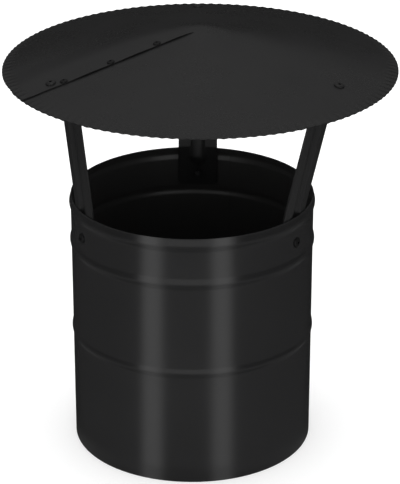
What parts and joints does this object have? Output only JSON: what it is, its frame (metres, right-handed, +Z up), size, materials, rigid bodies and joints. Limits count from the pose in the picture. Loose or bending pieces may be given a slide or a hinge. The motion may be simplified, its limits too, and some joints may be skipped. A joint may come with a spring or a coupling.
{
  "type": "chimney rain cap",
  "caption": "Round rain cap for a flue pipe: a shallow conical hat with a crimped rim on ribbed struts above a beaded plug-in collar.",
  "frame": {"origin": "centre of the collar's lower opening, in the plane of its lower edge", "axes": "+Z up along the collar's axis, towards the hat; +Y towards the back strut, which is the side away from the camera"},
  "size_m": [0.238, 0.238, 0.2696],
  "materials": {
    "hat_paint": "satin black heat-resistant paint",
    "collar_paint": "satin black heat-resistant paint",
    "strut_paint": "satin black heat-resistant paint",
    "rivet_paint": "satin black heat-resistant paint",
    "mandrel_steel": "dull bare steel"
  },
  "bodies": {
    "root": {"collar": "collar_paint", "strut_back": "strut_paint", "strut_left": "strut_paint", "strut_right": "strut_paint", "hat": "hat_paint", "foot_rivet_back": "rivet_paint", "foot_rivet_left": "rivet_paint", "foot_rivet_right": "rivet_paint", "hat_rivet_back": "rivet_paint", "hat_rivet_left": "rivet_paint", "hat_rivet_right": "rivet_paint", "seam_rivet_inner": "rivet_paint", "seam_rivet_middle": "rivet_paint", "seam_rivet_outer": "rivet_paint", "foot_mandrel_back": "mandrel_steel", "foot_mandrel_left": "mandrel_steel", "foot_mandrel_right": "mandrel_steel", "hat_mandrel_back": "mandrel_steel", "hat_mandrel_left": "mandrel_steel", "hat_mandrel_right": "mandrel_steel", "seam_mandrel_inner": "mandrel_steel", "seam_mandrel_middle": "mandrel_steel", "seam_mandrel_outer": "mandrel_steel"}
  },
  "joints": []
}
